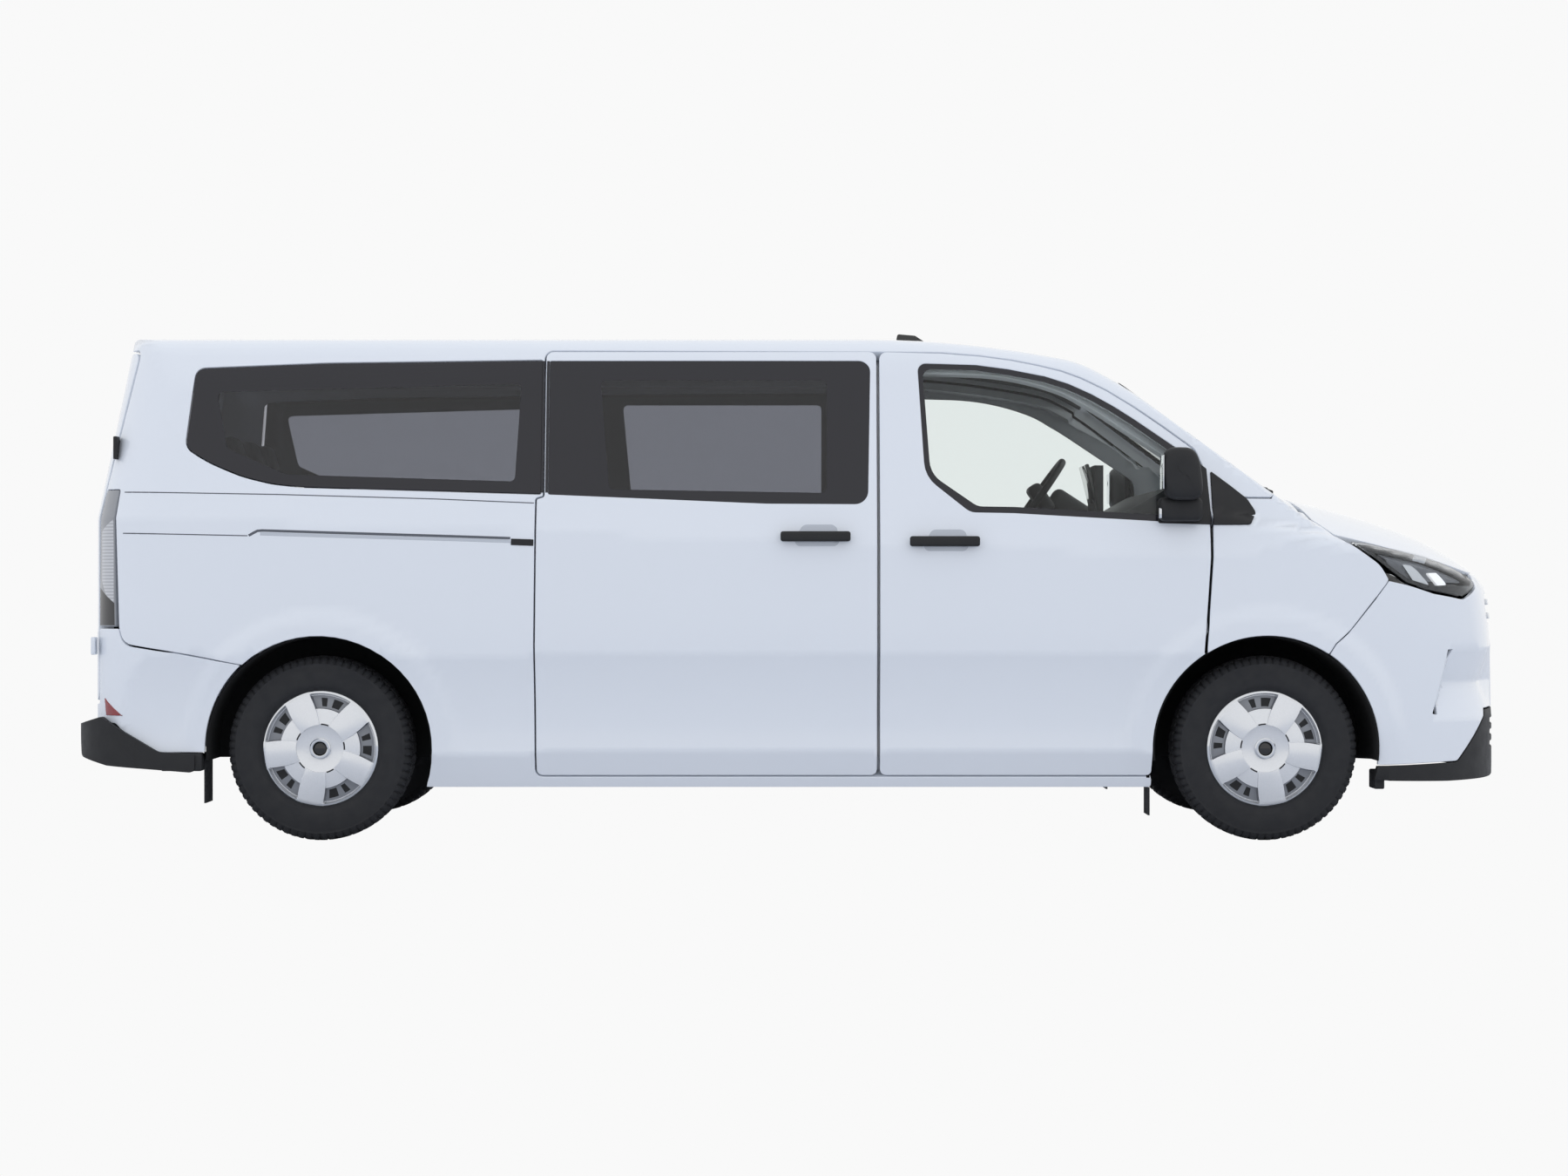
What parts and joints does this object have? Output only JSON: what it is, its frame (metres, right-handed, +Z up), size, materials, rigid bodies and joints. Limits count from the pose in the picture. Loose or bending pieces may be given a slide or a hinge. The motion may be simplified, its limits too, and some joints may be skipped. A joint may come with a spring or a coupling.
{
  "type": "minibus",
  "caption": "Long-wheelbase panel-sided minibus with hinged front and rear doors, bonnet, steered front wheels and seats in rows.",
  "frame": {"origin": "bottom centre of the bounding box, on the ground", "axes": "+X forward, +Y to the vehicle's left, +Z up"},
  "size_m": [5.4491, 2.274, 1.9444],
  "materials": {
    "white_paint": "gloss white",
    "tinted_glass": "dark tinted",
    "clear_glass": "clear",
    "black_plastic": "grained",
    "lamp_lens": "clear lens over dark housing",
    "red_lens": "red lens",
    "floor_paint": "dark primer",
    "seat_cloth": "woven",
    "grey_trim": "grained",
    "cast_iron": "as cast",
    "steel": "satin",
    "flap_rubber": "matt",
    "silver_cover": "silver paint",
    "tyre_rubber": "matt"
  },
  "bodies": {
    "body": {"roof_panel": "white_paint", "body_side_right": "white_paint", "body_side_left": "white_paint", "floor_pan": "floor_paint", "bulkhead": "floor_paint", "cowl": "black_plastic", "wheel_arch_liners": "black_plastic", "front_wings": "white_paint", "front_bumper": "white_paint", "front_trim": "black_plastic", "headlamps": "lamp_lens", "tail_lamps": "red_lens", "rear_bumper": "white_paint", "rear_step": "black_plastic", "windscreen": "clear_glass", "side_glass": "tinted_glass", "sliding_door_right": "white_paint", "sliding_door_handle": "black_plastic", "front_seats": "seat_cloth", "rear_benches": "seat_cloth", "dashboard": "grey_trim", "steering_wheel": "grey_trim", "engine": "cast_iron", "front_suspension": "steel", "rear_suspension": "steel", "mudflaps": "flap_rubber", "exhaust": "steel", "roof_antenna": "black_plastic", "wipers": "black_plastic"},
    "bonnet": {"bonnet": "white_paint"},
    "front_door_right": {"front_door_right": "white_paint", "front_door_glass_right": "clear_glass", "door_mirror_right": "black_plastic", "door_handle_right": "black_plastic"},
    "rear_door_right": {"rear_door_right": "white_paint", "rear_glass_right": "tinted_glass"},
    "knuckle_right": {"knuckle_right": "steel"},
    "front_door_left": {"front_door_left": "white_paint", "front_door_glass_left": "clear_glass", "door_mirror_left": "black_plastic", "door_handle_left": "black_plastic"},
    "rear_door_left": {"rear_door_left": "white_paint", "rear_glass_left": "tinted_glass"},
    "knuckle_left": {"knuckle_left": "steel"},
    "wheel_front_right": {"wheel_front_right": "silver_cover", "tyre_front_right": "tyre_rubber"},
    "wheel_front_left": {"wheel_front_left": "silver_cover", "tyre_front_left": "tyre_rubber"},
    "wheel_rear_right": {"wheel_rear_right": "silver_cover", "tyre_rear_right": "tyre_rubber"},
    "wheel_rear_left": {"wheel_rear_left": "silver_cover", "tyre_rear_left": "tyre_rubber"}
  },
  "joints": [
    {"name": "front_door_right_hinge", "type": "hinge", "parent": "body", "child": "front_door_right", "pos_m": [1.47, -1.012, 0.9], "axis": [0, 0, 1], "range_deg": [0, 68]},
    {"name": "rear_door_right_hinge", "type": "hinge", "parent": "body", "child": "rear_door_right", "pos_m": [-2.659, -0.905, 0.728], "axis": [0.1193, 0, 0.9929], "range_deg": [0, 90]},
    {"name": "front_door_left_hinge", "type": "hinge", "parent": "body", "child": "front_door_left", "pos_m": [1.47, 1.012, 0.9], "axis": [0, 0, -1], "range_deg": [0, 68]},
    {"name": "rear_door_left_hinge", "type": "hinge", "parent": "body", "child": "rear_door_left", "pos_m": [-2.659, 0.905, 0.728], "axis": [-0.1193, 0, -0.9929], "range_deg": [0, 90]},
    {"name": "bonnet_hinge", "type": "hinge", "parent": "body", "child": "bonnet", "pos_m": [1.885, 0, 1.292], "axis": [0, -1, 0], "range_deg": [0, 50]},
    {"name": "steering_right", "type": "hinge", "parent": "body", "child": "knuckle_right", "pos_m": [1.692, -0.8, 0.343], "axis": [0, 0, 1], "range_deg": [-35, 35]},
    {"name": "steering_left", "type": "hinge", "parent": "body", "child": "knuckle_left", "pos_m": [1.692, 0.8, 0.343], "axis": [0, 0, 1], "range_deg": [-35, 35]},
    {"name": "wheel_front_right_spin", "type": "hinge", "parent": "knuckle_right", "child": "wheel_front_right", "pos_m": [1.692, -0.8495, 0.343], "axis": [0, 1, 0], "continuous": true},
    {"name": "wheel_rear_right_spin", "type": "hinge", "parent": "body", "child": "wheel_rear_right", "pos_m": [-1.808, -0.8495, 0.343], "axis": [0, 1, 0], "continuous": true},
    {"name": "wheel_front_left_spin", "type": "hinge", "parent": "knuckle_left", "child": "wheel_front_left", "pos_m": [1.692, 0.8495, 0.343], "axis": [0, 1, 0], "continuous": true},
    {"name": "wheel_rear_left_spin", "type": "hinge", "parent": "body", "child": "wheel_rear_left", "pos_m": [-1.808, 0.8495, 0.343], "axis": [0, 1, 0], "continuous": true}
  ],
  "couplings": [
    {"joint": "steering_left", "follows": "steering_right", "ratio": 1}
  ]
}
